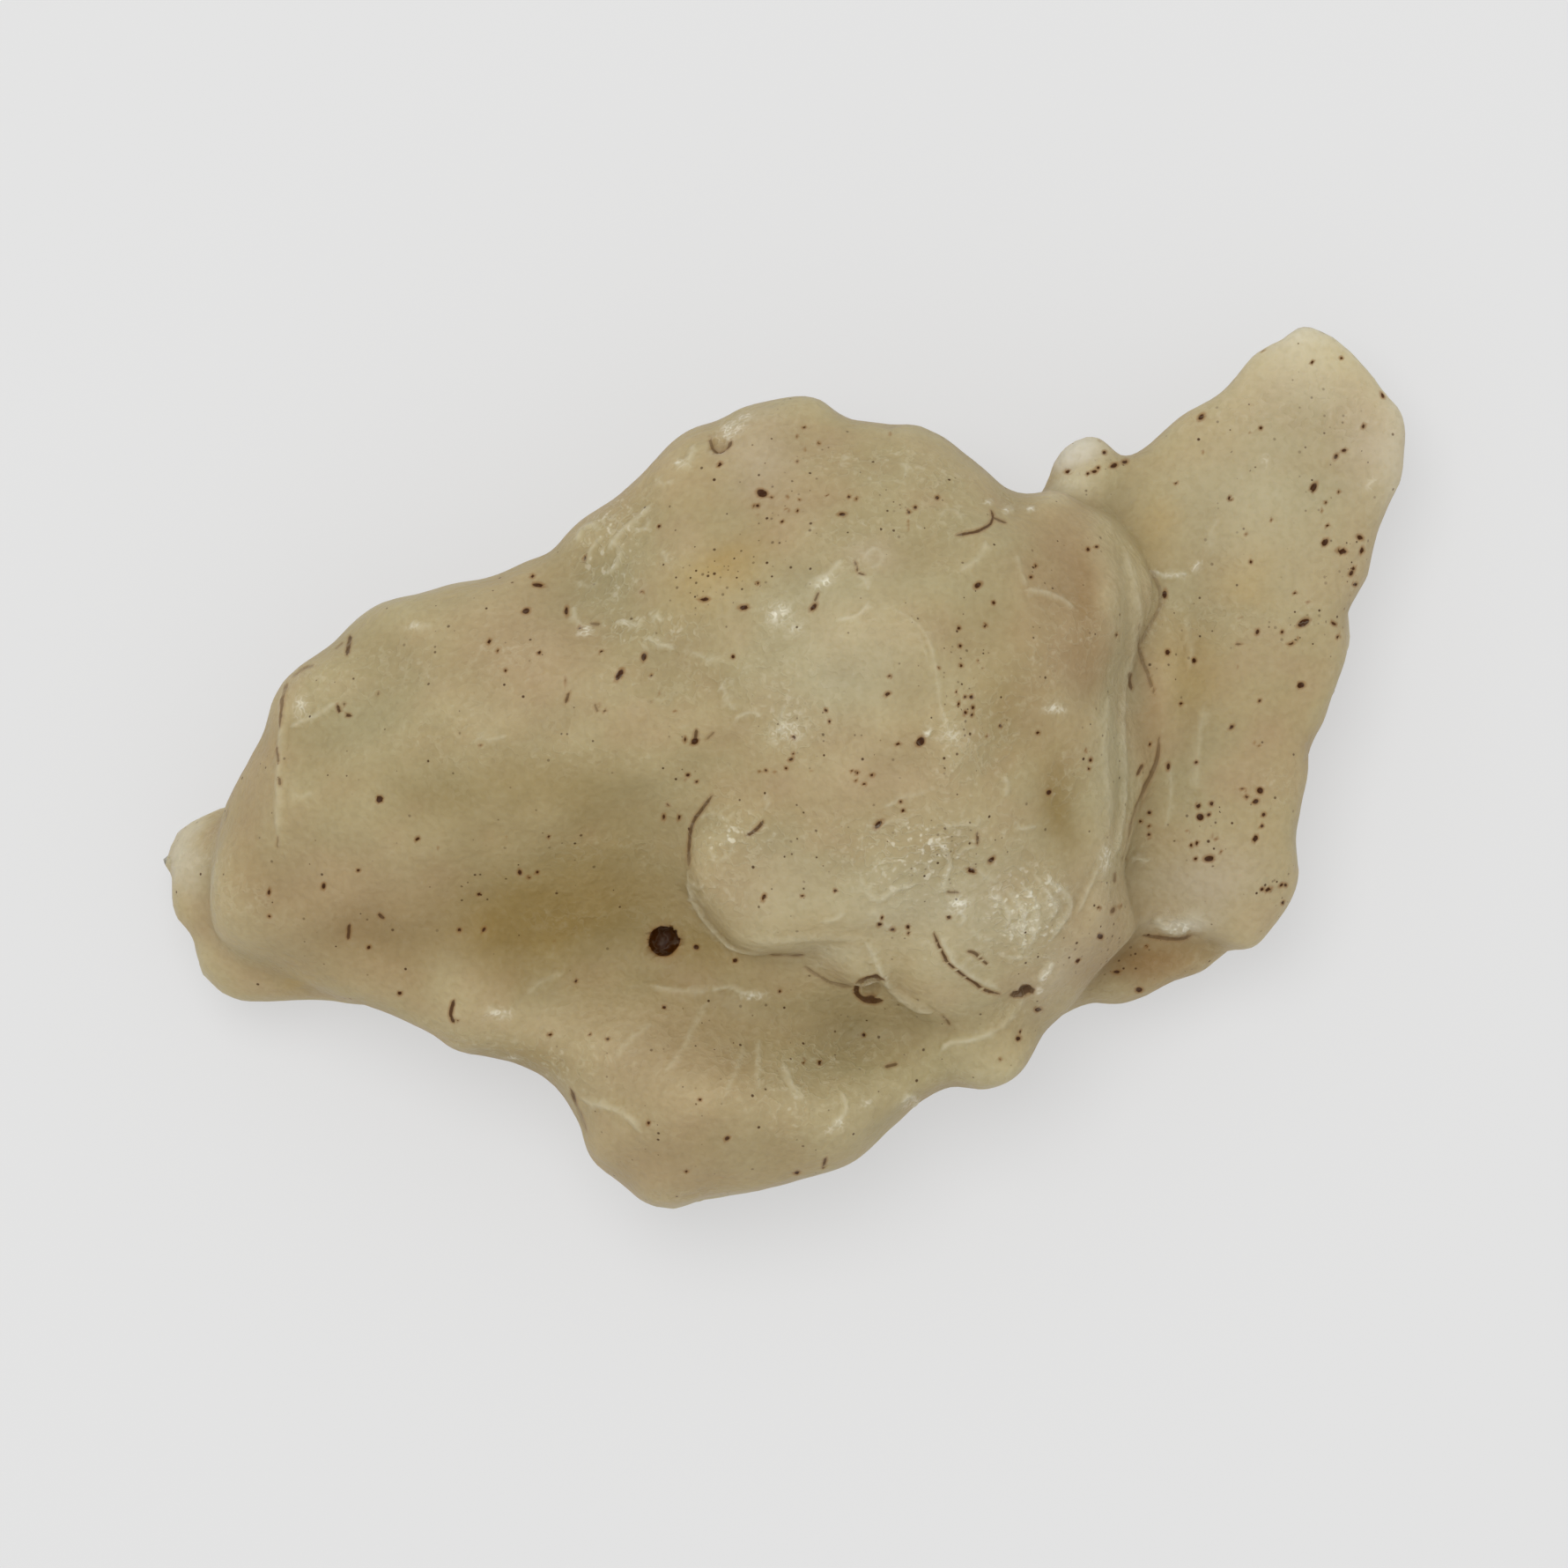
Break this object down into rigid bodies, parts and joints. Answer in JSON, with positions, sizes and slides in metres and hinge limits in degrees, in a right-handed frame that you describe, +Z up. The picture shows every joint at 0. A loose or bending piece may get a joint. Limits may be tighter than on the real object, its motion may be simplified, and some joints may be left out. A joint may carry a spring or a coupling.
{
  "type": "desert glass specimen",
  "caption": "Wind-worn lump of frosted natural silica glass: a broad body with a domed crest, a hollow below it and a thin fin at one end, lying flat.",
  "frame": {"origin": "middle of the flat patch under the lump, which it rests on", "axes": "+X along the lump towards its thin fin, +Y across it towards the fin's tip, +Z up through its thickness"},
  "size_m": [0.0564, 0.0402, 0.0198],
  "materials": {
    "desert_glass": "frosted, wind-worn and cloudy, pale olive yellow with brown dust in its pits"
  },
  "bodies": {
    "root": {"desert_glass": "desert_glass"}
  },
  "joints": []
}
